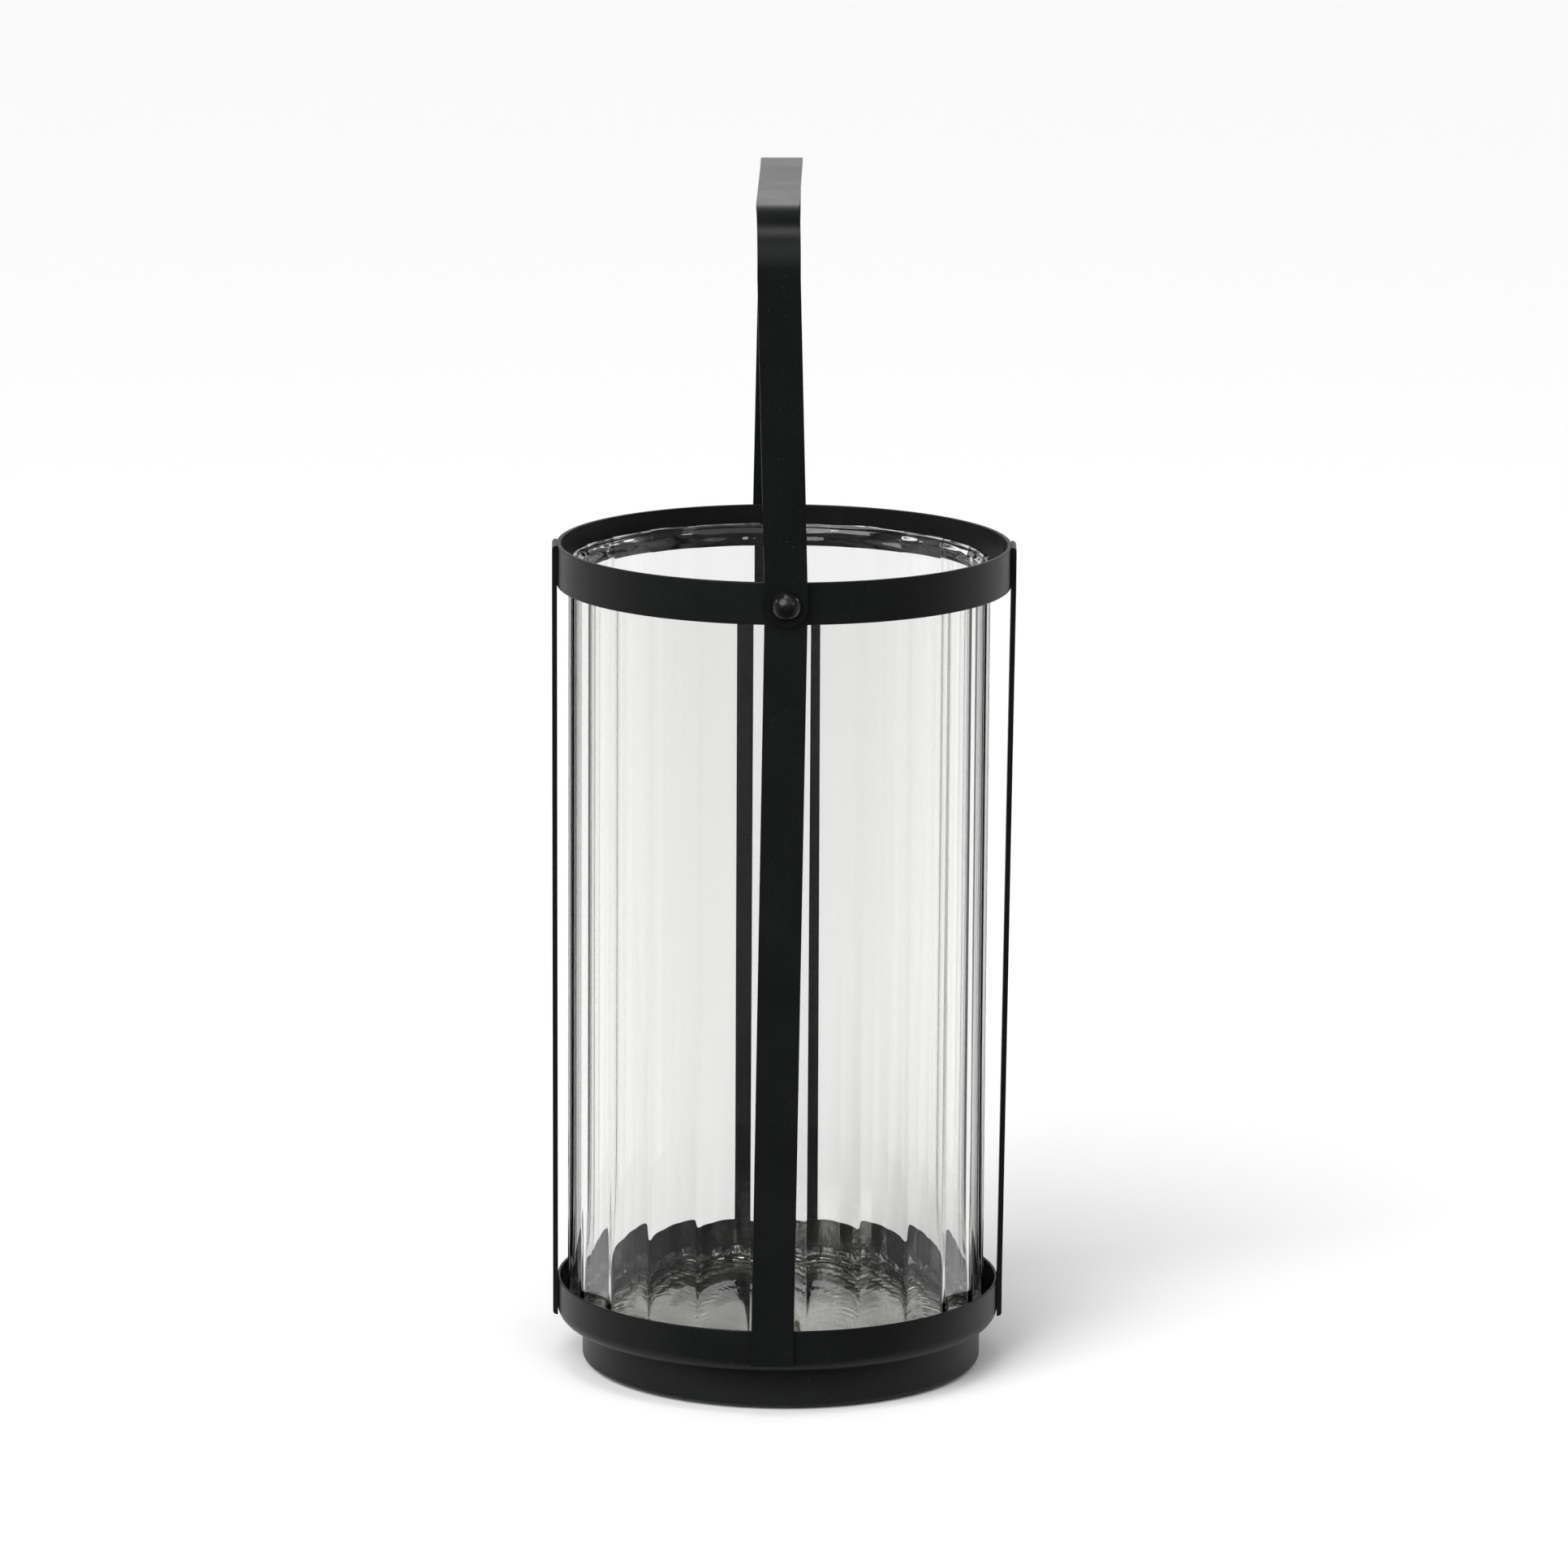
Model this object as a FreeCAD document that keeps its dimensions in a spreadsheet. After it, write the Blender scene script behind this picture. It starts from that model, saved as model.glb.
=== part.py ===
import FreeCAD, Part
import math
import os
import Sketcher
from FreeCAD import Placement, Rotation, Vector

# Candle lantern: a black strip-steel cage on a stepped round base, a fluted
# glass cylinder that stands in the base pan, and a bail handle that swings on
# two dome-headed rivets.  The origin is the middle of the footprint, at the
# surface that the lantern stands on.  +Z is up, and the bail's pivots are at
# the front (-Y) and the back (+Y).  The cage is welded by hand: the pan, the
# straps and the pivots stand a little off the ring's centre line, and the two
# legs of the bail lean opposite ways.

DIMENSIONS = [
    # alias, millimetres (or degrees, or a count), what it measures
    ("felt_radius", 54.0, "felt disc glued under the foot"),
    ("felt_height", 0.8, "felt disc, thickness"),
    ("foot_radius", 57.8, "stepped foot below the pan, outside"),
    ("foot_corner", 1.5, "foot, outside corner at the bottom"),
    ("sheet_gauge", 0.8, "sheet steel of the foot and the pan"),
    ("pan_radius", 64.0, "pan, outside"),
    ("pan_bottom", 12.5, "pan, underside above the table"),
    ("pan_rim", 25.0, "pan, rim above the table"),
    ("pan_corner", 4.0, "pan, outside corner at the bottom"),
    ("ring_radius", 65.1, "top ring, outside"),
    ("ring_gauge", 1.25, "top ring, thickness of the strip"),
    ("ring_bottom", 229.0, "top ring, lower edge above the table"),
    ("ring_top", 241.0, "top ring, upper edge above the table"),
    ("edge_round", 0.3, "rounding of the strip's edges"),
    ("strap_width", 12.0, "upright straps and bail, width of the strip"),
    ("strap_gauge", 1.3, "upright straps and bail, thickness"),
    ("strap_foot", 14.4, "straps, lower end above the table"),
    ("strap_end_round", 1.1, "straps, rounded outer corner of each end"),
    ("weld_bite", 0.15, "depth the ring and pan sink into each strap"),
    ("pivot_height", 235.0, "bail pivots above the table"),
    ("bail_top", 345.0, "bail, top face above the table"),
    ("bail_bend", 18.0, "bail, outside radius of the two bends"),
    ("bail_front_lean", -2.6, "bail, top of the front leg sideways of its foot"),
    ("bail_back_lean", 1.5, "bail, top of the back leg sideways of its foot"),
    ("shank_radius", 2.0, "rivet shank"),
    ("running_gap", 0.05, "play of the bail on the rivets"),
    ("dome_radius", 4.35, "rivet head, radius of its sphere"),
    ("dome_cut", 8.0, "rivet head, latitude in degrees where it is cut"),
    ("tail_radius", 3.2, "formed rivet tail, radius of its sphere"),
    ("tail_cut", 40.0, "formed rivet tail, latitude in degrees of its cut"),
    ("washer_radius", 6.4, "spacer washer between strap and bail"),
    ("washer_gauge", 0.8, "spacer washer, thickness"),
    ("backing_radius", 3.8, "backing washer inside the ring"),
    ("backing_gauge", 0.6, "backing washer, thickness"),
    ("backing_sink", 0.25, "backing washer, flat face inside the ring's curve"),
    ("glass_radius", 60.8, "glass, radius over the ridges"),
    ("glass_wall", 2.2, "glass, wall thickness at the ridges"),
    ("glass_floor", 1.5, "glass, thickness of the closed bottom"),
    ("glass_gap", 0.3, "gap between the glass and the pan's floor"),
    ("glass_rim", 236.2, "glass, rim above the table"),
    ("glass_heel", 2.5, "glass, outside corner at the bottom"),
    ("glass_cove", 3.5, "glass, inside corner at the bottom"),
    ("glass_lip", 1.0, "glass, rounding of the rim"),
    ("flute_count", 24, "flutes round the glass"),
    ("flute_radius", 131.0, "radius of each concave flute"),
    ("flute_depth", 0.71, "flute's middle below the ridges"),
    ("glass_turn", -0.87, "glass, degrees from a flute square to the front"),
    ("foot_shift", 0.4, "foot and felt, along +X from the ring's centre line"),
    ("pan_shift", -0.7, "pan, along +X from the ring's centre line"),
    ("glass_shift", -1.35, "glass, along +X from the ring's centre line"),
    ("pivot_shift", -1.3, "bail pivots, along +X from the ring's centre line"),
]

STRAPS = [
    # side, degrees about +Z from +X, pan's surface from the centre line,
    # carries a bail pivot, lean in degrees, sideways along the strap's own +Y
    ("right", -2.5, "pan_radius + pan_shift", False, 0.0, "0"),
    ("back", 90.0, "pan_radius", True, -0.25, "-pivot_shift"),
    ("left", 180.0, "pan_radius - pan_shift", False, 0.0, "0"),
    ("front", 270.0, "pan_radius", True, -0.70, "pivot_shift"),
]

CLOSE = 0.01            # two measures closer than this are the same, in mm
NOTHING = 1e-9          # a measure smaller than this is zero, in mm
FULL_TURN = 360.0       # degrees
QUARTER_TURN = 90.0     # degrees

doc = FreeCAD.newDocument("candle_lantern")
sheet = doc.addObject("Spreadsheet::Sheet", "Dimensions")
for row, (alias, value, note) in enumerate(DIMENSIONS, start=1):
    sheet.set("A%d" % row, str(value))
    sheet.setAlias("A%d" % row, alias)
    sheet.set("B%d" % row, note)
doc.recompute()

finished = []


def size(expression):
    """Value in millimetres of an expression in the sheet's aliases."""
    names = {alias: float(sheet.get(alias)) for alias, _, _ in DIMENSIONS}
    total = 0.0
    for term in expression.replace("-", "+-").split("+"):
        term = term.strip()
        if not term:
            continue
        sign = -1.0 if term.startswith("-") else 1.0
        term = term.lstrip("-").strip()
        factor = 1.0
        for word in term.split("*"):
            word = word.strip()
            factor *= names[word] if word in names else float(word)
        total += sign * factor
    return total


def bound(expression):
    """The same expression as FreeCAD reads it, with the sheet's name."""
    words = expression
    for alias in sorted((a for a, _, _ in DIMENSIONS), key=len, reverse=True):
        words = words.replace(alias, "\0" + alias + "\1")
    return words.replace("\0", "Dimensions.").replace("\1", "")


def finish(node, name):
    """Name a finished sub-part and keep it for export."""
    node.Label = name
    finished.append(node)
    return node


def new_body(name):
    return doc.addObject("PartDesign::Body", name + "_body")


def new_sketch(body, name, role):
    """Sketch on one of its body's own origin planes."""
    sketch = body.newObject("Sketcher::SketchObject", name)
    plane = [f for f in body.Origin.OriginFeatures if f.Role == role][0]
    sketch.AttachmentSupport = [(plane, "")]
    sketch.MapMode = "FlatFace"
    return sketch


def place_point(sketch, curve, point, across, up):
    """Hold one point of a sketch at two expressions from the origin."""
    for kind, axis, expression in (("DistanceX", -2, across), ("DistanceY", -1, up)):
        value = size(expression)
        if abs(value) < NOTHING:
            sketch.addConstraint(Sketcher.Constraint("PointOnObject", curve, point, axis))
            continue
        index = sketch.addConstraint(Sketcher.Constraint(kind, -1, 1, curve, point, value))
        sketch.setExpression("Constraints[%d]" % index, bound(expression))


def outline(body, name, role, corners):
    """Closed outline of straight lines through corners given as expressions."""
    sketch = new_sketch(body, name, role)
    spots = [Vector(size(across), size(up), 0) for across, up in corners]
    for index, spot in enumerate(spots):
        sketch.addGeometry(Part.LineSegment(spot, spots[(index + 1) % len(spots)]), False)
    for index in range(len(spots)):
        following = (index + 1) % len(spots)
        sketch.addConstraint(Sketcher.Constraint("Coincident", index, 2, following, 1))
    for index, (across, up) in enumerate(corners):
        place_point(sketch, index, 1, across, up)
    return sketch


def circles(body, name, role, rings):
    """Circles given as (across, up, radius) expressions."""
    sketch = new_sketch(body, name, role)
    for across, up, radius in rings:
        centre = Vector(size(across), size(up), 0)
        curve = sketch.addGeometry(Part.Circle(centre, Vector(0, 0, 1), size(radius)), False)
        index = sketch.addConstraint(Sketcher.Constraint("Radius", curve, size(radius)))
        sketch.setExpression("Constraints[%d]" % index, bound(radius))
        place_point(sketch, curve, 3, across, up)
    return sketch


def revolve(body, name, corners):
    """Full turn of an outline, drawn as (radius, height), about +Z."""
    profile = outline(body, name + "_profile", "XZ_Plane", corners)
    turn = body.newObject("PartDesign::Revolution", name + "_turn")
    turn.Profile = profile
    turn.ReferenceAxis = (profile, ["V_Axis"])
    turn.Angle = FULL_TURN
    doc.recompute()
    return turn


def pad(body, name, profile, length, middle=False):
    feature = body.newObject("PartDesign::Pad", name)
    feature.Profile = profile
    feature.setExpression("Length", bound(length))
    feature.Midplane = middle
    doc.recompute()
    return feature


def drill(body, name, profile, reach):
    """Pocket that reaches as far on both sides of the sketch."""
    before = body.Shape.Volume
    feature = body.newObject("PartDesign::Pocket", name)
    feature.Profile = profile
    feature.Type = "Length"
    feature.setExpression("Length", bound("2*" + reach))
    feature.Midplane = True
    doc.recompute()
    if body.Shape.Volume >= before:
        raise RuntimeError("%s cuts nothing" % name)
    return feature


def fillet(body, name, radius, wanted):
    """Round every edge of the body's shape that wanted(edge) picks."""
    base = body.Tip
    picked = [
        "Edge%d" % index
        for index, edge in enumerate(base.Shape.Edges, start=1)
        if wanted(edge)
    ]
    if not picked:
        raise RuntimeError("%s finds no edge" % name)
    feature = body.newObject("PartDesign::Fillet", name)
    feature.Base = (base, picked)
    feature.setExpression("Radius", bound(radius))
    doc.recompute()
    return feature


def rim_at(radius, height):
    """Picks the circular edge of one radius and height."""
    def wanted(edge):
        curve = edge.Curve
        if not isinstance(curve, Part.Circle):
            return False
        same_radius = abs(curve.Radius - size(radius)) < CLOSE
        return same_radius and abs(curve.Center.z - size(height)) < CLOSE
    return wanted


def any_of(*tests):
    return lambda edge: any(test(edge) for test in tests)


def make_felt():
    body = new_body("base_felt")
    disc = circles(body, "felt_outline", "XY_Plane", [("0", "0", "felt_radius")])
    pad(body, "felt_pad", disc, "felt_height")
    body.setExpression("Placement.Base.x", bound("foot_shift"))
    finish(body, "base_felt")


def make_foot():
    """Shallow drawn dish whose open side is closed by the pan above it."""
    body = new_body("base_foot")
    inside = "foot_radius - sheet_gauge"
    floor = "felt_height + sheet_gauge"
    revolve(body, "foot", [
        ("0", "felt_height"), ("foot_radius", "felt_height"),
        ("foot_radius", "pan_bottom"), (inside, "pan_bottom"),
        (inside, floor), ("0", floor),
    ])
    fillet(body, "foot_corner_round", "foot_corner", rim_at("foot_radius", "felt_height"))
    body.setExpression("Placement.Base.x", bound("foot_shift"))
    finish(body, "base_foot")


def make_pan():
    """Drawn pan with a rolled lower corner, which the glass stands in."""
    body = new_body("base_pan")
    inside = "pan_radius - sheet_gauge"
    floor = "pan_bottom + sheet_gauge"
    revolve(body, "pan", [
        ("0", "pan_bottom"), ("pan_radius", "pan_bottom"),
        ("pan_radius", "pan_rim"), (inside, "pan_rim"),
        (inside, floor), ("0", floor),
    ])
    fillet(body, "pan_outside_round", "pan_corner", rim_at("pan_radius", "pan_bottom"))
    fillet(body, "pan_inside_round", "pan_corner - sheet_gauge", rim_at(inside, floor))
    rims = any_of(rim_at("pan_radius", "pan_rim"), rim_at(inside, "pan_rim"))
    fillet(body, "pan_rim_round", "edge_round", rims)
    body.setExpression("Placement.Base.x", bound("pan_shift"))
    finish(body, "base_pan")


def make_ring():
    """Strip-steel hoop, drilled front and back for the bail's rivets."""
    body = new_body("top_ring")
    inside = "ring_radius - ring_gauge"
    revolve(body, "ring", [
        (inside, "ring_bottom"), ("ring_radius", "ring_bottom"),
        ("ring_radius", "ring_top"), (inside, "ring_top"),
    ])
    edges = any_of(
        rim_at("ring_radius", "ring_bottom"), rim_at("ring_radius", "ring_top"),
        rim_at(inside, "ring_bottom"), rim_at(inside, "ring_top"),
    )
    fillet(body, "ring_edge_round", "edge_round", edges)
    hole = ("pivot_shift", "pivot_height", "shank_radius")
    holes = circles(body, "ring_holes", "XZ_Plane", [hole])
    drill(body, "ring_drilling", holes, "bail_top")
    finish(body, "top_ring")


def end_edges(low_out, high_out):
    """Picks the outer edge across the top and the bottom of a strap."""
    def wanted(edge):
        box = edge.BoundBox
        across = box.YLength > size("strap_width") - CLOSE and box.XLength < CLOSE
        low = abs(box.ZMin - size("strap_foot")) < CLOSE
        high = abs(box.ZMax - size("ring_top")) < CLOSE
        low_outer = low and abs(box.XMin - size(low_out)) < CLOSE
        high_outer = high and abs(box.XMin - size(high_out)) < CLOSE
        return across and (low_outer or high_outer)
    return wanted


def make_strap(side, angle, pan_surface, has_pivot, lean, sideways):
    """Upright strip, saddled onto the outside of the ring and the pan."""
    name = "strap_" + side
    body = new_body(name)
    low_in = pan_surface + " - weld_bite"
    low_out = pan_surface + " + strap_gauge"
    high_in = "ring_radius - weld_bite"
    high_out = "ring_radius + strap_gauge"
    profile = outline(body, name + "_profile", "XZ_Plane", [
        (low_in, "strap_foot"), (low_out, "strap_foot"), (low_out, "pan_rim"),
        (high_out, "ring_bottom"), (high_out, "ring_top"), (high_in, "ring_top"),
        (high_in, "ring_bottom"), (low_in, "pan_rim"),
    ])
    pad(body, name + "_strip", profile, "strap_width", middle=True)
    fillet(body, name + "_ends", "strap_end_round", end_edges(low_out, high_out))
    if has_pivot:
        hole = circles(body, name + "_hole", "YZ_Plane", [("0", "pivot_height", "shank_radius")])
        drill(body, name + "_drilling", hole, "bail_top")
    pivot = Vector(0, 0, size("pivot_height"))
    aside = Placement(Vector(0, size(sideways), 0), Rotation())
    leaning = Placement(Vector(), Rotation(Vector(1, 0, 0), lean), pivot)
    facing_out = Placement(Vector(), Rotation(Vector(0, 0, 1), angle))
    body.Placement = facing_out * aside * leaning
    blank = body
    for part, centre, radius, bottom, top in (
        ("ring", "0", "ring_radius", "ring_bottom", "ring_top"),
        ("pan", "pan_shift", "pan_radius", "pan_bottom", "pan_rim"),
    ):
        core = doc.addObject("Part::Cylinder", "%s_%s_core" % (name, part))
        core.setExpression("Radius", bound(radius))
        core.setExpression("Height", bound("%s - %s" % (top, bottom)))
        core.setExpression("Placement.Base.x", bound(centre))
        core.setExpression("Placement.Base.z", bound(bottom))
        saddle = doc.addObject("Part::Cut", "%s_%s_saddle" % (name, part))
        saddle.Base = blank
        saddle.Tool = core
        blank = saddle
    finish(blank, name)


def bail_inside():
    return "ring_radius + strap_gauge + washer_gauge + running_gap"


def bail_outside():
    return bail_inside() + " + strap_gauge"


def bail_bar(name, start, reach, run):
    """Oblique bar: a box's cross-section, start, carried along a run.

    start is the section's middle, reach its half sizes; each is in mm.
    """
    low, high = start - reach, start + reach
    if abs(reach.z) < NOTHING:
        spots = [(low.x, low.y), (high.x, low.y), (high.x, high.y), (low.x, high.y)]
        corners = [Vector(x, y, start.z) for x, y in spots]
    else:
        spots = [(low.x, low.z), (high.x, low.z), (high.x, high.z), (low.x, high.z)]
        corners = [Vector(x, start.y, z) for x, z in spots]
    section = doc.addObject("Part::Feature", name + "_section")
    section.Shape = Part.makePolygon(corners + corners[:1])
    bar = doc.addObject("Part::Extrusion", name)
    bar.Base = section
    bar.DirMode = "Custom"
    bar.Dir = run
    bar.LengthFwd = run.Length
    bar.Solid = True
    return bar


def bail_curve(name, side, sideways):
    """Quarter bend between a leg and the bail's top, across the strip."""
    forward = -1 if side == "front" else 1
    away = size(bail_outside()) - size("bail_bend")
    corner = Vector(sideways - size("strap_width") / 2, forward * away,
                    size("bail_top - bail_bend"))
    across, up = Vector(1, 0, 0), Vector(0, 0, 1)
    if side == "front":
        turn = Rotation(up, Vector(0, -1, 0), across, "ZXY")
    else:
        turn = Rotation(Vector(0, 1, 0), up, across, "ZXY")
    round_parts = []
    for layer, radius in (("outer", "bail_bend"), ("inner", "bail_bend - strap_gauge")):
        wedge = doc.addObject("Part::Cylinder", "%s_%s" % (name, layer))
        wedge.setExpression("Radius", bound(radius))
        wedge.setExpression("Height", bound("strap_width"))
        wedge.Angle = QUARTER_TURN
        wedge.Placement = Placement(corner, turn)
        round_parts.append(wedge)
    bend = doc.addObject("Part::Cut", name)
    bend.Base, bend.Tool = round_parts
    return bend


def along_pivots(name, radius, start, length):
    """Round bar on the pivot axis, in the bail's own frame."""
    bar = doc.addObject("Part::Cylinder", name)
    bar.setExpression("Radius", bound(radius))
    bar.Height = length
    bar.Placement = Placement(Vector(0, start, size("pivot_height")),
                              Rotation(Vector(0, 0, 1), Vector(0, 1, 0)))
    return bar


def make_bail():
    """One strip bent over the top, with a round eye at the foot of each leg.

    Its legs lean opposite ways, so its top crosses the lantern at a slant.
    """
    inside, outside = size(bail_inside()), size(bail_outside())
    middle = (inside + outside) / 2
    half_width, half_gauge = size("strap_width") / 2, size("strap_gauge") / 2
    bend_height = size("bail_top - bail_bend")
    rise = bend_height - size("pivot_height")
    top_height = size("bail_top") - half_gauge
    leans = {"front": size("bail_front_lean"), "back": size("bail_back_lean")}
    pieces = []
    for side, forward in (("front", -1), ("back", 1)):
        foot = Vector(0, forward * middle, size("pivot_height"))
        reach = Vector(half_width, half_gauge, 0)
        pieces.append(bail_bar("bail_%s_leg" % side, foot, reach, Vector(leans[side], 0, rise)))
        pieces.append(bail_curve("bail_%s_bend" % side, side, leans[side]))
        eye_start = forward * middle - half_gauge
        eye = along_pivots("bail_%s_eye" % side, "0.5*strap_width", eye_start, 2 * half_gauge)
        pieces.append(eye)
    span = 2 * (outside - size("bail_bend"))
    start = Vector(leans["front"], -span / 2, top_height)
    run = Vector(leans["back"] - leans["front"], span, 0)
    pieces.append(bail_bar("bail_top_bar", start, Vector(half_width, 0, half_gauge), run))
    strip = doc.addObject("Part::MultiFuse", "bail_strip")
    strip.Shapes = pieces
    strip.Refine = True
    bore = along_pivots("bail_bore", "shank_radius + running_gap", -2 * outside, 4 * outside)
    drilled = doc.addObject("Part::Cut", "bail_drilled")
    drilled.Base, drilled.Tool = strip, bore
    drilled.setExpression("Placement.Base.x", bound("pivot_shift"))
    finish(drilled, "bail_handle")


def facing(side):
    """Turns a piece made along +Z to point out of the front or the back."""
    return Rotation(Vector(0, 0, 1), Vector(0, -1 if side == "front" else 1, 0))


def at_pivot(side, distance):
    """Place on the pivot axis, a distance out from the lantern's middle."""
    reach = -distance if side == "front" else distance
    return Placement(Vector(size("pivot_shift"), reach, size("pivot_height")), facing(side))


def make_rivet(side):
    """Dome head, shank through bail, washers, strap and ring, formed tail."""
    name = "pivot_rivet_" + side
    head_seat = size(bail_outside() + " + running_gap")
    tail_seat = size("ring_radius - ring_gauge - backing_sink - backing_gauge")
    head = doc.addObject("Part::Sphere", name + "_head")
    head.setExpression("Radius", bound("dome_radius"))
    head.setExpression("Angle1", bound("dome_cut"))
    sunk = size("dome_radius") * math.sin(math.radians(size("dome_cut")))
    head.Placement = at_pivot(side, head_seat - sunk)
    shank = doc.addObject("Part::Cylinder", name + "_shank")
    shank.setExpression("Radius", bound("shank_radius"))
    shank.Height = head_seat - tail_seat
    shank.Placement = at_pivot(side, tail_seat)
    tail = doc.addObject("Part::Sphere", name + "_tail")
    tail.setExpression("Radius", bound("tail_radius"))
    tail.setExpression("Angle1", bound("tail_cut"))
    tail_sunk = size("tail_radius") * math.sin(math.radians(size("tail_cut")))
    inward = facing("back" if side == "front" else "front")
    start = at_pivot(side, tail_seat + tail_sunk).Base
    tail.Placement = Placement(start, inward)
    rivet = doc.addObject("Part::MultiFuse", name + "_solid")
    rivet.Shapes = [head, shank, tail]
    rivet.Refine = True
    finish(rivet, name)


def make_washer(name, side, radius, bore, gauge, distance):
    """Flat round washer on the pivot axis."""
    body = new_body(name)
    rings = [("0", "0", radius), ("0", "0", bore)]
    flat = circles(body, name + "_outline", "XY_Plane", rings)
    pad(body, name + "_pad", flat, gauge)
    body.Placement = at_pivot(side, size(distance))
    finish(body, name)


def make_glass():
    """Fluted cylinder with a closed bottom and a fire-polished rim."""
    body = new_body("glass_insert")
    bottom = "pan_bottom + sheet_gauge + glass_gap"
    floor = bottom + " + glass_floor"
    bore = "glass_radius - glass_wall"
    revolve(body, "glass", [
        ("0", bottom), ("glass_radius", bottom), ("glass_radius", "glass_rim"),
        (bore, "glass_rim"), (bore, floor), ("0", floor),
    ])
    fillet(body, "glass_heel_round", "glass_heel", rim_at("glass_radius", bottom))
    fillet(body, "glass_cove_round", "glass_cove", rim_at(bore, floor))
    lips = any_of(rim_at("glass_radius", "glass_rim"), rim_at(bore, "glass_rim"))
    fillet(body, "glass_lip_round", "glass_lip", lips)
    centre = "glass_radius - flute_depth + flute_radius"
    flute = circles(body, "flute_outline", "XY_Plane", [(centre, "0", "flute_radius")])
    cut = drill(body, "first_flute", flute, "bail_top")
    pattern = body.newObject("PartDesign::PolarPattern", "all_flutes")
    pattern.Originals = [cut]
    pattern.Axis = (flute, ["N_Axis"])
    pattern.Angle = FULL_TURN
    pattern.setExpression("Occurrences", bound("flute_count"))
    body.Tip = pattern
    doc.recompute()
    turned = Rotation(Vector(0, 0, 1), size("glass_turn") - QUARTER_TURN)
    body.Placement = Placement(Vector(size("glass_shift"), 0, 0), turned)
    finish(body, "glass_insert")


def check_document():
    """Stop if any object failed, or a sub-part is not closed and valid."""
    doc.recompute()
    for item in doc.Objects:
        if "Invalid" in item.State or "Error" in item.State:
            raise RuntimeError("%s failed: %s" % (item.Label, item.State))
    for node in finished:
        shape = node.Shape
        if shape.isNull() or not shape.isValid() or not shape.Solids:
            raise RuntimeError("%s has no valid shape" % node.Label)


def export_parts():
    os.makedirs("parts", exist_ok=True)
    for node in finished:
        node.Shape.exportStep("parts/%s.step" % node.Label)
        box = node.Shape.BoundBox
        print("%-24s %2d solid %10.1f mm3  x %7.2f %7.2f  y %7.2f %7.2f  z %7.2f %7.2f" % (
            node.Label, len(node.Shape.Solids), node.Shape.Volume,
            box.XMin, box.XMax, box.YMin, box.YMax, box.ZMin, box.ZMax))


make_felt()
make_foot()
make_pan()
make_ring()
for strap in STRAPS:
    make_strap(*strap)
make_bail()
for pivot_side in ("front", "back"):
    make_rivet(pivot_side)
    make_washer("spacer_washer_" + pivot_side, pivot_side, "washer_radius",
                "shank_radius", "washer_gauge", "ring_radius + strap_gauge")
    make_washer("backing_washer_" + pivot_side, pivot_side, "backing_radius",
                "shank_radius", "backing_gauge",
                "ring_radius - ring_gauge - backing_sink - backing_gauge")
make_glass()
check_document()
export_parts()
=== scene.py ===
import math

import bpy
from mathutils import Matrix, Vector


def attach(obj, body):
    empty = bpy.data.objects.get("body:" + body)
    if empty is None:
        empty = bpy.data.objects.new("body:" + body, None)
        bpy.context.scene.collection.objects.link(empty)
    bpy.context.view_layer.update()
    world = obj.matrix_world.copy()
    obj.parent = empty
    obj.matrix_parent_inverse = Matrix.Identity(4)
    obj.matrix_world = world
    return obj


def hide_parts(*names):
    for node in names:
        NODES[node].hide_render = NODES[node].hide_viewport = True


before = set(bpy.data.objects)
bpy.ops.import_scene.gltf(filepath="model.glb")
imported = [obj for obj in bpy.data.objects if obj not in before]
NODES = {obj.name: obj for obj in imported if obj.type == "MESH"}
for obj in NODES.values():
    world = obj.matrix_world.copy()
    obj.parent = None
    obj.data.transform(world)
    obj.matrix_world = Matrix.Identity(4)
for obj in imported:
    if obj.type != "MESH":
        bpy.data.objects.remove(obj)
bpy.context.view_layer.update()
SCENE = bpy.context.scene
MM = 0.001


# ---------------------------------------------------------------- helpers
def collect(obj):
    SCENE.collection.objects.link(obj)
    return obj


def mesh_object(name, verts, faces):
    mesh = bpy.data.meshes.new(name)
    mesh.from_pydata([tuple(v) for v in verts], [], faces)
    mesh.validate()
    mesh.update()
    mesh.polygons.foreach_set("use_smooth", [True] * len(mesh.polygons))
    return collect(bpy.data.objects.new(name, mesh))


def put_material(obj, material):
    obj.data.materials.clear()
    obj.data.materials.append(material)


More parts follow.
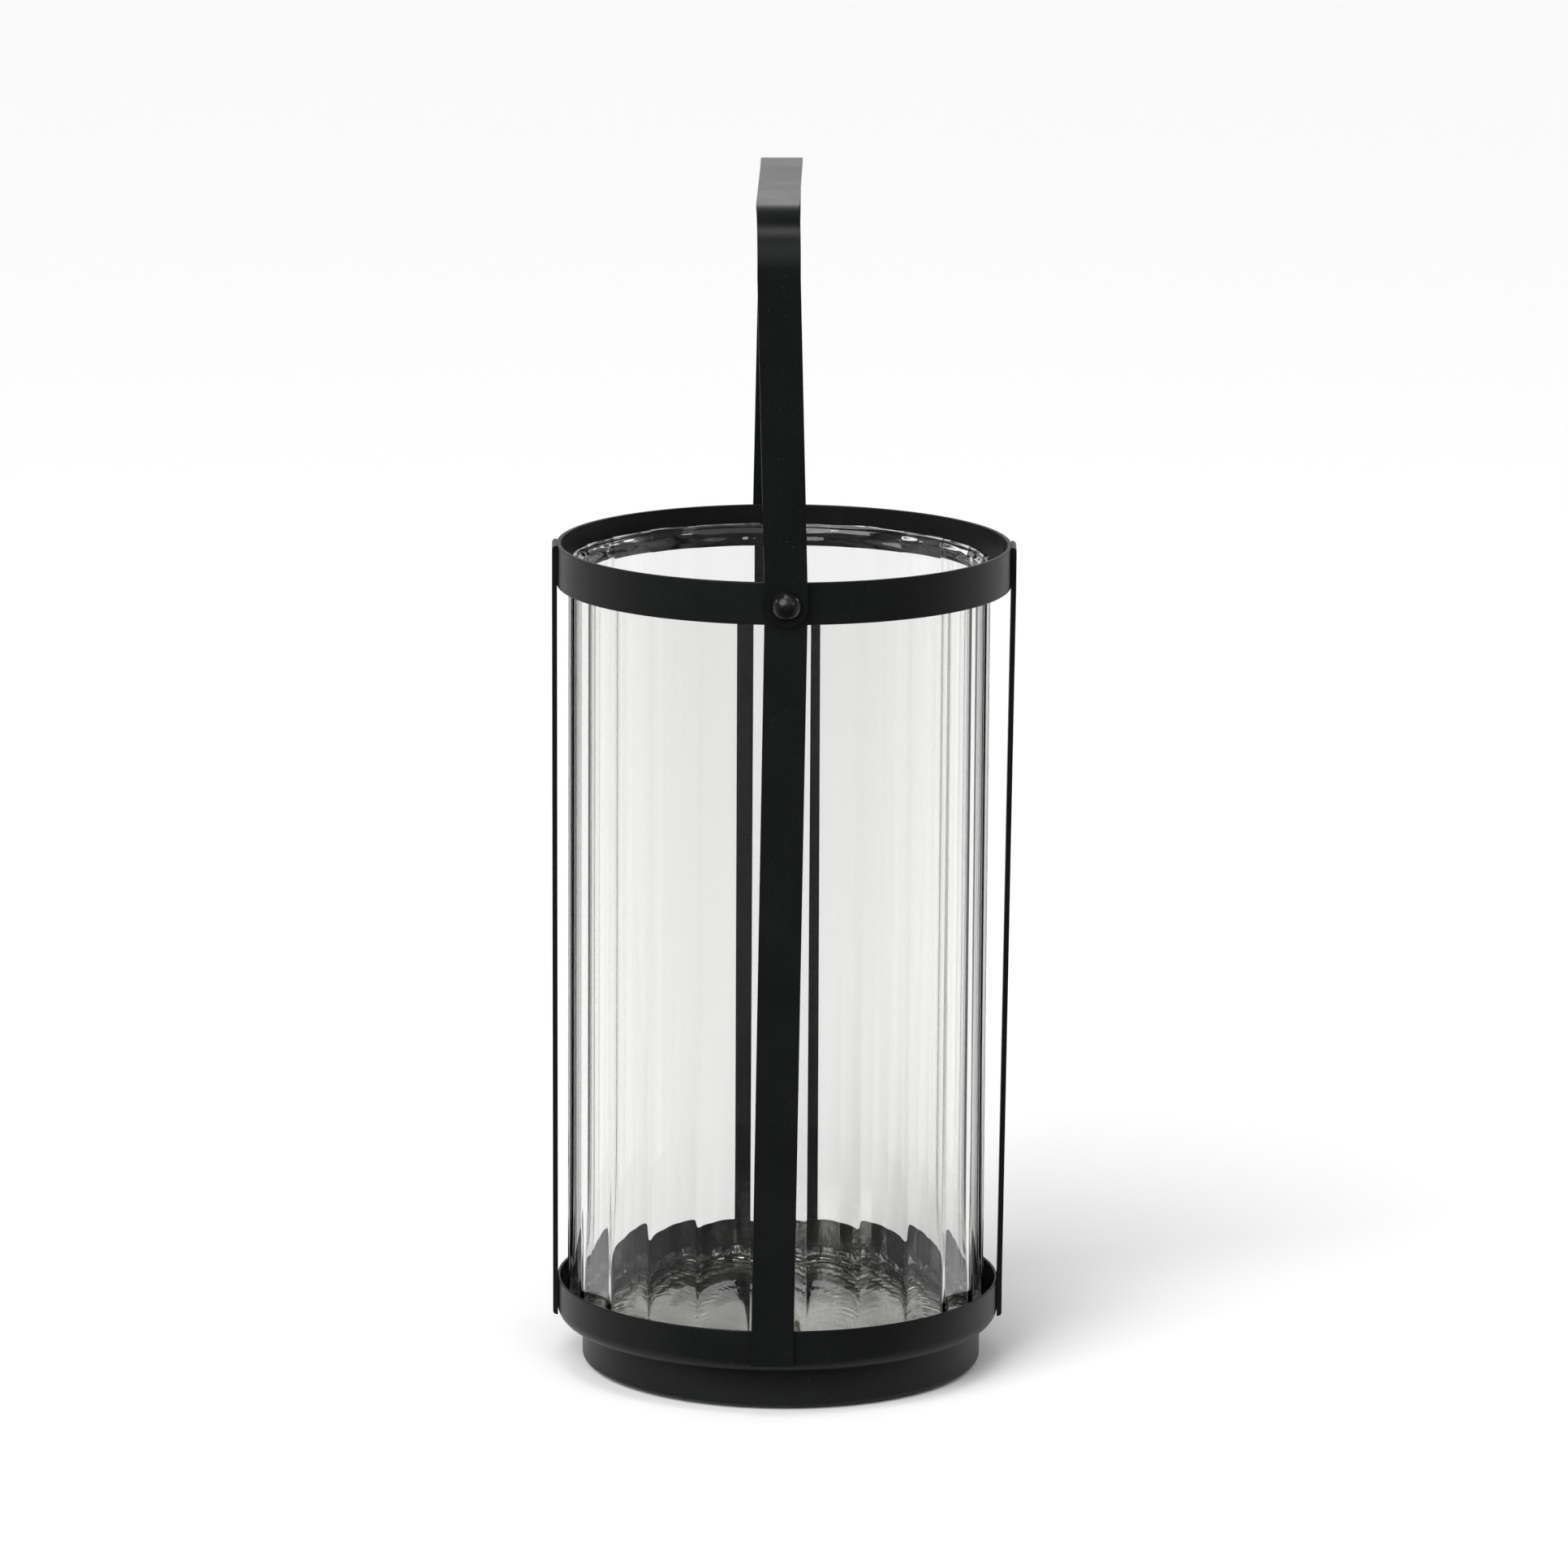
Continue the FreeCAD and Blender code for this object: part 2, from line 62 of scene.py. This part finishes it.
class Shader:
    """Small helper that builds one node material."""

    def __init__(self, name):
        self.material = bpy.data.materials.new(name)
        self.material.use_nodes = True
        self.tree = self.material.node_tree
        self.tree.nodes.clear()
        self.out = self.node("ShaderNodeOutputMaterial")
        self.bsdf = self.node("ShaderNodeBsdfPrincipled")
        self.link(self.bsdf, "BSDF", self.out, "Surface")
        self.place = self.node("ShaderNodeTexCoord")

    def node(self, kind, **values):
        node = self.tree.nodes.new(kind)
        for key, value in values.items():
            setattr(node, key, value)
        return node

    def link(self, a, out_socket, b, in_socket):
        self.tree.links.new(a.outputs[out_socket], b.inputs[in_socket])

    def set(self, node, **values):
        for key, value in values.items():
            node.inputs[key.replace("_", " ")].default_value = value

    def noise(self, scale, detail, rough, stretch=None):
        """Noise in object space. scale is cycles per metre."""
        noise = self.node("ShaderNodeTexNoise")
        self.set(noise, Scale=scale, Detail=detail, Roughness=rough)
        if stretch is None:
            self.link(self.place, "Object", noise, "Vector")
        else:
            mapping = self.node("ShaderNodeMapping")
            self.set(mapping, Scale=stretch)
            self.link(self.place, "Object", mapping, "Vector")
            self.link(mapping, "Vector", noise, "Vector")
        return noise

    def ramp(self, source, socket, stops):
        """Map a 0-1 value through (position, value or colour) stops."""
        ramp = self.node("ShaderNodeValToRGB")
        elements = ramp.color_ramp.elements
        while len(elements) < len(stops):
            elements.new(0.5)
        for element, (position, value) in zip(elements, stops):
            colour = value if isinstance(value, tuple) else (value, value, value)
            element.position = position
            element.color = (*colour, 1.0)
        self.link(source, socket, ramp, "Fac")
        return ramp

    def bump(self, layers):
        """Chain of bumps: (noise, strength, distance in metres)."""
        previous = None
        for source, strength, distance in layers:
            bump = self.node("ShaderNodeBump")
            self.set(bump, Strength=strength, Distance=distance)
            self.link(source, "Fac", bump, "Height")
            if previous is not None:
                self.link(previous, "Normal", bump, "Normal")
            previous = bump
        self.link(previous, "Normal", self.bsdf, "Normal")


# -------------------------------------------------------------- materials
DUST = (0.10, 0.10, 0.10, 1.0)


def powder_coat(name, base, rough, grain=1.0, spec=0.12):
    """Satin black powder coat with orange peel, uneven tone and faint dust."""
    s = Shader(name)
    cloud = s.noise(60.0, 4.0, 0.6)
    speck = s.noise(2600.0, 2.0, 0.6)
    peel = s.noise(1500.0, 3.0, 0.55)
    fine = s.noise(5200.0, 2.0, 0.6)
    dark, light = (tuple(c * share for c in base) for share in (0.85, 1.2))
    tone = s.ramp(cloud, "Fac", [(0.25, dark), (0.75, light)])
    dust = s.ramp(speck, "Fac", [(0.0, 0.0), (0.70, 0.0), (0.80, 1.0)])
    mix = s.node("ShaderNodeMix", data_type="RGBA")
    mix.inputs["B"].default_value = DUST
    s.link(dust, "Color", mix, "Factor")
    s.tree.links.new(tone.outputs["Color"], mix.inputs["A"])
    s.link(mix, "Result", s.bsdf, "Base Color")
    gloss = s.ramp(cloud, "Fac", [(0.2, rough - 0.04), (0.8, rough + 0.05)])
    s.link(gloss, "Color", s.bsdf, "Roughness")
    s.set(s.bsdf, Specular_IOR_Level=spec, IOR=1.5)
    s.bump([(peel, 0.25 * grain, 0.08 * MM), (fine, 0.2 * grain, 0.03 * MM)])
    return s.material


TINT_LOW = 15.0             # millimetres above the table
TINT_HIGH = 18.5
BOTTOM_TINT = (0.965, 0.965, 0.86)
WALL_TINT = (0.957, 0.957, 0.955)


def clear_glass(name):
    """Slightly grey pressed glass, a little yellow where the bottom is."""
    s = Shader(name)
    s.set(s.bsdf, Base_Color=(1.0, 1.0, 1.0, 1.0), Roughness=0.0, IOR=1.52, Transmission_Weight=1.0)
    ripple = s.noise(260.0, 1.0, 0.5, (1.0, 1.0, 0.012))
    s.bump([(ripple, 0.008, 0.6 * MM)])
    split = s.node("ShaderNodeSeparateXYZ")
    s.link(s.place, "Object", split, "Vector")
    depth = s.node("ShaderNodeMapRange")
    s.set(depth, From_Min=TINT_LOW * MM, From_Max=TINT_HIGH * MM)
    s.link(split, "Z", depth, "Value")
    tint = s.ramp(depth, "Result", [(0.0, BOTTOM_TINT), (1.0, WALL_TINT)])
    s.link(tint, "Color", s.bsdf, "Base Color")
    absorb = s.node("ShaderNodeVolumeAbsorption")
    s.set(absorb, Color=(0.820, 0.823, 0.806, 1.0), Density=130.0)
    s.link(absorb, "Volume", s.out, "Volume")
    return s.material


def black_felt(name):
    """Matt felt with a fibrous nap."""
    s = Shader(name)
    fibre = s.noise(3000.0, 6.0, 0.7)
    cloud = s.noise(400.0, 3.0, 0.6)
    tone = s.ramp(fibre, "Fac", [(0.3, 0.006), (0.7, 0.03)])
    s.link(tone, "Color", s.bsdf, "Base Color")
    s.set(s.bsdf, Roughness=0.95, Sheen_Weight=0.4, Sheen_Roughness=0.5)
    s.bump([(fibre, 0.6, 0.3 * MM), (cloud, 0.4, 0.4 * MM)])
    return s.material


METAL = powder_coat("satin_black", (0.0045, 0.0052, 0.0050), 0.38)
BAIL = powder_coat("satin_black_bail", (0.0042, 0.0048, 0.0050), 0.26, 1.5)
RIVET = powder_coat("gloss_black_rivet", (0.003, 0.0032, 0.0032), 0.22, 0.3, 0.30)
GLASS = clear_glass("fluted_glass")
FELT = black_felt("black_felt")


def material_of(node_name):
    if node_name == "base_felt":
        return FELT
    if "rivet" in node_name or "washer" in node_name:
        return RIVET
    if node_name == "bail_handle":
        return BAIL
    if node_name == "glass_insert":
        return GLASS
    return METAL


for node_name, node_object in NODES.items():
    put_material(node_object, material_of(node_name))
    if node_name not in ("base_felt", "glass_insert"):
        faces = node_object.data.polygons
        faces.foreach_set("use_smooth", [True] * len(faces))


# ------------------------------------------------------------------ glass
# Lengths in millimetres, angles in degrees. The turned angle of a point is
# its angle from the middle of the flute that faces the front.
FLUTES = 24
PITCH = 360.0 / FLUTES
FLUTE_TURN = -0.87          # the whole glass, about +Z
GLASS_R = 60.8              # over the ridges
GLASS_BORE = 58.6
GLASS_LOW = 13.6            # underside
GLASS_FLOOR = 15.1          # top of the closed bottom
GLASS_HIGH = 236.2          # rim
GLASS_X = -1.35             # the glass stands off the ring's centre line
FLUTE_R = 131.0             # each flute's own radius
FLUTE_DEEP = 0.76
CREST_BLEND = 0.12          # width over which a ridge is rounded
CREST_SINK = 0.02           # ridge below GLASS_R
LIP = 1.1                   # height of the rim's rounding
LIP_SQUARE = 0.82           # 1 is an ellipse, less is squarer
RIM_WAVES = [(0.10, 7, 0.4), (0.08, 11, 1.9), (0.06, 24, 0.3), (0.05, 17, 2.2)]
BEAD = 0.70                 # fire-polished bead inside, under the rim
BEAD_REACH = 4.6
BEAD_LEAN = 0.7             # below 1, the bead is fuller near the rim
BEAD_WAVES = [(0.18, 8, 0.9), (0.14, 13, 2.1), (0.10, 24, 0.2), (0.06, 37, 1.4)]
LOW_WAVE = 0.30             # the bore follows the flutes near the bottom
LOW_REACH = 11.0
LOW_ROWS = 3.0              # the mesh is finer for this many reaches
PUCKER = 0.75               # and dips outwards behind each ridge
PUCKER_WIDE = 2.0
HEEL = 2.5                  # outside corner at the bottom
HEEL_INSET = 0.8            # the heel's foot stands in from the ridges
COVE = 3.5                  # inside corner at the bottom
COVE_WAVES = [(0.50, 24, 0.0), (0.34, 31, 1.1), (0.34, 53, 2.0), (0.26, 83, 0.6), (0.16, 131, 0.2)]
COVE_LIFT = 0.35            # share of those waves that lifts the corner
COVE_PULL = 0.5             # share of that lift that also pulls it inwards
COVE_BEND = 0.4             # share of the waves that bends the floor's edge
FLOOR_WAVES = [(0.035, 24, 0.0), (0.025, 41, 0.9)]
FLOOR_FADE = 9.0            # how fast the floor's waves die away inwards
FLOOR_EASE = 30.0           # how fast they begin at the floor's edge
# ripples round the floor: height, wavelength, distance in from its edge, spread
FLOOR_RINGS = [(0.15, 6.5, 7.0, 8.0), (0.075, 12.0, 30.0, 12.0)]
RING_WAVES = [(1.1, 24, 1.57), (0.5, 53, 2.0), (0.5, 7, 0.3)]
FOOT_STEP = 0.25            # underside above the ring that it stands on
FOOT_STEEP = 8              # how fast it steps up from that ring
KICK = 0.75                 # and how far its middle is pushed up
KICK_REACH = 36.0
KICK_CORE = 5.0
PER_FLUTE = 30              # points of the mesh across a flute


def soft_min(a, b, k):
    """The smaller of two lengths, blended over about k."""
    h = max(0.0, min(1.0, 0.5 + 0.5 * (b - a) / k))
    return b * (1 - h) + a * h - k * h * (1 - h)


def smooth_step(share):
    share = max(0.0, min(1.0, share))
    return share * share * (3 - 2 * share)


def from_flute(angle):
    return angle - FLUTE_TURN + 90.0


def wave(angle, terms):
    """Sum of sines round the glass: (height, how many round, phase)."""
    return sum(a * math.sin(math.radians(n * angle) + p) for a, n, p in terms)


def fluted_radius(angle):
    """Outside radius at an angle about +Z."""
    across = (from_flute(angle) + PITCH / 2) % PITCH - PITCH / 2
    reach = GLASS_R - FLUTE_DEEP + FLUTE_R
    phi = math.radians(across)
    facet = reach * math.cos(phi) - math.sqrt(FLUTE_R ** 2 - (reach * math.sin(phi)) ** 2)
    return soft_min(facet, GLASS_R - CREST_SINK, CREST_BLEND)


def flute_angles():
    """Angles about +Z, closer together at the ridges."""
    even = 0.35
    angles = []
    for flute in range(FLUTES):
        for step in range(PER_FLUTE):
            t = -1.0 + 2.0 * step / PER_FLUTE
            across = even * t + (1 - even) * math.sin(t * math.pi / 2)
            angles.append(-90.0 + FLUTE_TURN + (flute + across / 2) * PITCH)
    return angles


def bead_swell(angle, height):
    """How far the fire-polished bead under the rim swells inwards."""
    down = GLASS_HIGH - LIP - height
    if down >= BEAD_REACH:
        return 0.0
    bump = math.sin(math.pi * (down / BEAD_REACH) ** BEAD_LEAN) ** 2
    return bump * (BEAD + wave(angle, BEAD_WAVES))


def glass_sections():
    """Rows of (side, measure) that go once round the section of the glass.

    The measure is a height for 'out' and 'in', and otherwise a share from 0
    to 1 of the way along that side.
    """
    high = GLASS_HIGH - LIP
    throat = high - BEAD_REACH
    knee = GLASS_FLOOR + LOW_ROWS * LOW_REACH
    low_in = GLASS_FLOOR + COVE
    low_out = GLASS_LOW + HEEL
    rows = [("under", i / 60) for i in range(1, 60)]
    rows += [("heel", i / 10) for i in range(11)]
    rows += [("out", low_out + (high - low_out) * i / 48) for i in range(1, 48)]
    rows += [("lip", i / 24) for i in range(25)]
    rows += [("in", high + (throat - high) * i / 20) for i in range(1, 21)]
    rows += [("in", throat + (knee - throat) * i / 48) for i in range(1, 48)]
    rows += [("in", knee + (low_in - knee) * i / 30) for i in range(30)]
    rows += [("cove", i / 20) for i in range(21)]
    rows += [("floor", i / 120) for i in range(1, 120)]
    return rows


def under_point(share):
    """Underside, from its middle out to the heel."""
    radius = share * (GLASS_R - HEEL - HEEL_INSET)
    kick = KICK * smooth_step((KICK_REACH - radius) / (KICK_REACH - KICK_CORE))
    return radius, GLASS_LOW + FOOT_STEP * min(1.0, FOOT_STEEP * (1 - share)) + kick


def heel_point(share, outer):
    a = share * math.pi / 2
    foot = GLASS_R - HEEL_INSET
    radius = foot + (outer - foot) * math.sin(a) - HEEL + HEEL * math.sin(a)
    return radius, GLASS_LOW + HEEL * (1 - math.cos(a))


def lip_point(share, outer, angle):
    """Over the rim, from the outside to the bore."""
    a = share * math.pi
    half = (outer - GLASS_BORE) / 2
    over = math.copysign(abs(math.cos(a)) ** LIP_SQUARE, math.cos(a))
    rise = abs(math.sin(a)) ** LIP_SQUARE
    low = GLASS_HIGH - LIP
    high = GLASS_HIGH + wave(angle, RIM_WAVES)
    return GLASS_BORE + half + half * over, low + (high - low) * rise


def low_ripple(turned):
    """How the bore near the bottom departs from a circle."""
    from_ridge = abs(turned % PITCH - PITCH / 2)
    follow = -LOW_WAVE * math.cos(math.radians(FLUTES * turned))
    return follow + PUCKER * math.exp(-(from_ridge / PUCKER_WIDE) ** 2)


def cove_point(share, turned):
    """Inside corner, from the bore to the floor."""
    a = share * math.pi / 2
    bend = wave(turned, COVE_WAVES)
    lift = COVE_LIFT * bend * math.sin(2 * a)
    bore = GLASS_BORE + low_ripple(turned)
    inwards = COVE_PULL * lift + COVE_BEND * bend * math.sin(a) ** 2
    radius = bore - COVE * (1 - math.cos(a)) - inwards
    return radius, GLASS_FLOOR + COVE * (1 - math.sin(a)) + lift


def floor_point(share, turned):
    """Top of the closed bottom, from the cove to the middle."""
    edge = cove_point(1.0, turned)[0]
    inward = share * edge
    sag = wave(turned, FLOOR_WAVES) * math.exp(-share * FLOOR_FADE)
    wobble = wave(turned, RING_WAVES)
    for height, length, near, reach in FLOOR_RINGS:
        swell = math.exp(-((inward - near) / reach) ** 2)
        sag += height * swell * math.cos(2 * math.pi * (inward + wobble) / length)
    return edge - inward, GLASS_FLOOR + sag * (1 - math.exp(-share * FLOOR_EASE))


def glass_point(row, angle):
    """(radius, height) of one row of the section at one angle about +Z."""
    side, measure = row
    turned = from_flute(angle)
    if side == "under":
        return under_point(measure)
    if side == "heel":
        return heel_point(measure, fluted_radius(angle))
    if side == "out":
        return fluted_radius(angle), measure
    if side == "lip":
        return lip_point(measure, fluted_radius(angle), angle)
    if side == "in":
        fade = math.exp(-(measure - GLASS_FLOOR - COVE) / LOW_REACH)
        return GLASS_BORE - bead_swell(angle, measure) + low_ripple(turned) * fade, measure
    if side == "cove":
        return cove_point(measure, turned)
    return floor_point(measure, turned)


def make_glass():
    angles = flute_angles()
    rows = glass_sections()
    verts = []
    for row in rows:
        for angle in angles:
            r, z = glass_point(row, angle)
            a = math.radians(angle)
            verts.append(((r * math.cos(a) + GLASS_X) * MM, r * math.sin(a) * MM, z * MM))
    n = len(angles)
    faces = []
    for i in range(len(rows) - 1):
        for j in range(n):
            k = (j + 1) % n
            faces.append((i * n + j, i * n + k, (i + 1) * n + k, (i + 1) * n + j))
    under = len(verts)
    verts.append((GLASS_X * MM, 0, (GLASS_LOW + FOOT_STEP + KICK) * MM))
    top = len(verts)
    verts.append((GLASS_X * MM, 0, GLASS_FLOOR * MM))
    last = (len(rows) - 1) * n
    for j in range(n):
        k = (j + 1) % n
        faces.append((under, k, j))
        faces.append((top, last + j, last + k))
    obj = mesh_object("glass_fluted", verts, faces)
    put_material(obj, GLASS)
    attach(obj, "glass")
    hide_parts("glass_insert")


make_glass()


# ------------------------------------------------------------------ stage
# Lengths in metres from here on.
def make_floor():
    bpy.ops.mesh.primitive_plane_add(size=30.0, location=(0, 0, 0))
    floor = bpy.context.object
    floor.name = "floor"
    s = Shader("pale_floor")
    s.set(s.bsdf, Base_Color=(0.92, 0.92, 0.92, 1.0), Roughness=0.7, Specular_IOR_Level=0.2)
    put_material(floor, s.material)


def smooth_range(tree, source, socket, inputs, outputs):
    """Node that takes one range of a world direction's part to another."""
    span = tree.nodes.new("ShaderNodeMapRange")
    span.interpolation_type = "SMOOTHSTEP"
    span.inputs["From Min"].default_value, span.inputs["From Max"].default_value = inputs
    span.inputs["To Min"].default_value, span.inputs["To Max"].default_value = outputs
    tree.links.new(source.outputs[socket], span.inputs["Value"])
    return span


def light_world():
    """Pale surroundings, darker in front (-Y) and overhead."""
    world = bpy.data.worlds.new("studio")
    SCENE.world = world
    world.use_nodes = True
    tree = world.node_tree
    place = tree.nodes.new("ShaderNodeTexCoord")
    split = tree.nodes.new("ShaderNodeSeparateXYZ")
    tree.links.new(place.outputs["Generated"], split.inputs["Vector"])
    behind = smooth_range(tree, split, "Y", (-0.35, 0.50), (0.16, 0.92))
    high = smooth_range(tree, split, "Z", (0.30, 0.75), (1.0, 0.35))
    both = tree.nodes.new("ShaderNodeMath")
    both.operation = "MULTIPLY"
    tree.links.new(behind.outputs["Result"], both.inputs[0])
    tree.links.new(high.outputs["Result"], both.inputs[1])
    back = tree.nodes["Background"]
    back.inputs["Color"].default_value = (1.0, 1.0, 1.0, 1.0)
    tree.links.new(both.outputs["Value"], back.inputs["Strength"])


def sun_light(name, strength, spread, shine):
    """A far light, shining along a direction, with a wide soft disc."""
    lamp = bpy.data.lights.new(name, "SUN")
    lamp.energy = strength
    lamp.angle = math.radians(spread)
    obj = collect(bpy.data.objects.new(name, lamp))
    obj.rotation_euler = Vector(shine).to_track_quat("-Z", "Y").to_euler()


def area_light(name, size, place, aim, power):
    """A soft box of a width and a depth, turned to face a point."""
    lamp = bpy.data.lights.new(name, "AREA")
    lamp.shape = "RECTANGLE"
    lamp.size, lamp.size_y = size
    lamp.energy = power
    obj = collect(bpy.data.objects.new(name, lamp))
    obj.location = place
    direction = Vector(aim) - Vector(place)
    obj.rotation_euler = direction.to_track_quat("-Z", "Y").to_euler()


# across, back, up: directions to the small lamps whose spots show on the rivet
LAMPS = [
    (-0.85, 0.0, 0.53), (-0.46, -0.72, 0.52),
    (0.72, -0.53, 0.46), (0.78, 0.31, 0.55),
]
LAMP_AWAY = 1.7
LAMP_SIDE = 0.22
LAMP_POWER = 1.3


def make_lights():
    light_world()
    sun_light("key", 2.85, 50.0, (0.80, 1.10, -1.0))
    sun_light("fill", 1.00, 70.0, (-0.25, 0.85, -1.0))
    area_light("overhead", (0.5, 0.4), (-0.1, -0.30, 1.65), (0, 0, 0.33), 4.0)
    for number, way in enumerate(LAMPS):
        place = Vector(way) * LAMP_AWAY
        area_light("lamp_%d" % number, (LAMP_SIDE, LAMP_SIDE), place, (0, 0, 0.2), LAMP_POWER)


def card_material():
    """Black that grades to grey beside the lantern, where the floor there
    would be seen mirrored. It is clear to any ray that no surface mirrored."""
    s = Shader("black_card")
    aim = s.node("ShaderNodeVectorMath", operation="NORMALIZE")
    split = s.node("ShaderNodeSeparateXYZ")
    fade = s.node("ShaderNodeMapRange")
    s.set(fade, From_Min=-0.72, From_Max=0.0, To_Min=0.07, To_Max=0.60)
    s.link(s.place, "Object", aim, 0)
    s.link(aim, "Vector", split, "Vector")
    s.link(split, "Y", fade, "Value")
    s.link(fade, "Result", s.bsdf, "Base Color")
    s.set(s.bsdf, Roughness=0.9, Specular_IOR_Level=0.1)
    path = s.node("ShaderNodeLightPath")
    mirrored = s.node("ShaderNodeMath", operation="GREATER_THAN")
    s.link(path, "Glossy Depth", mirrored, 0)
    mirrored.inputs[1].default_value = 0.5
    clear = s.node("ShaderNodeBsdfTransparent")
    choice = s.node("ShaderNodeMixShader")
    s.link(mirrored, "Value", choice, 0)
    s.link(clear, "BSDF", choice, 1)
    s.link(s.bsdf, "BSDF", choice, 2)
    s.link(choice, "Shader", s.out, "Surface")
    return s.material


def make_card():
    """Black card on the floor in front of the lantern that only mirrored
    rays see: it keeps the front of the metal and of the glass dark."""
    corners = [
        (-4.0, -4.0), (4.0, -4.0), (4.0, 0.0), (0.14, 0.0), (0.09, -0.07),
        (-0.09, -0.07), (-0.14, 0.0), (-4.0, 0.0),
    ]
    above_floor = 0.002
    verts = [(x, y, above_floor) for x, y in corners]
    card = mesh_object("black_card", verts, [(0, 1, 4, 5), (1, 2, 3, 4), (0, 5, 6, 7)])
    put_material(card, card_material())
    card.visible_camera = False
    card.visible_diffuse = False
    card.visible_shadow = False


make_floor()
SCENE.view_settings.view_transform = "Standard"
make_lights()
make_card()


# ----------------------------------------------------------------- camera
SENSOR = 36.0               # millimetres
LENS = 189.68944            # millimetres
CAMERA_PLACE = (0.006624, -2.32751, 0.65088)
PITCH_DOWN = 0.203551       # radians
YAW = 0.0026911
ROLL = 0.0061183
ORBIT = math.radians(-1.87)


def make_camera():
    """Camera at a place in front, turned with it about the lantern's +Z."""
    camera = bpy.data.cameras.new("camera")
    obj = collect(bpy.data.objects.new("camera", camera))
    camera.sensor_width = SENSOR
    camera.lens = LENS
    camera.clip_start, camera.clip_end = 0.1, 100.0
    level = math.cos(PITCH_DOWN)
    forward = Vector((-math.sin(YAW) * level, math.cos(YAW) * level, -math.sin(PITCH_DOWN)))
    right = Vector((math.cos(YAW), math.sin(YAW), 0.0))
    up = right.cross(forward)
    rolled_right = right * math.cos(ROLL) + up * math.sin(ROLL)
    rolled_up = up * math.cos(ROLL) - right * math.sin(ROLL)
    turn = Matrix.Rotation(ORBIT, 3, "Z")
    axes = Matrix((turn @ rolled_right, turn @ rolled_up, turn @ -forward)).transposed()
    obj.matrix_world = Matrix.Translation(turn @ Vector(CAMERA_PLACE)) @ axes.to_4x4()
    SCENE.camera = obj


make_camera()
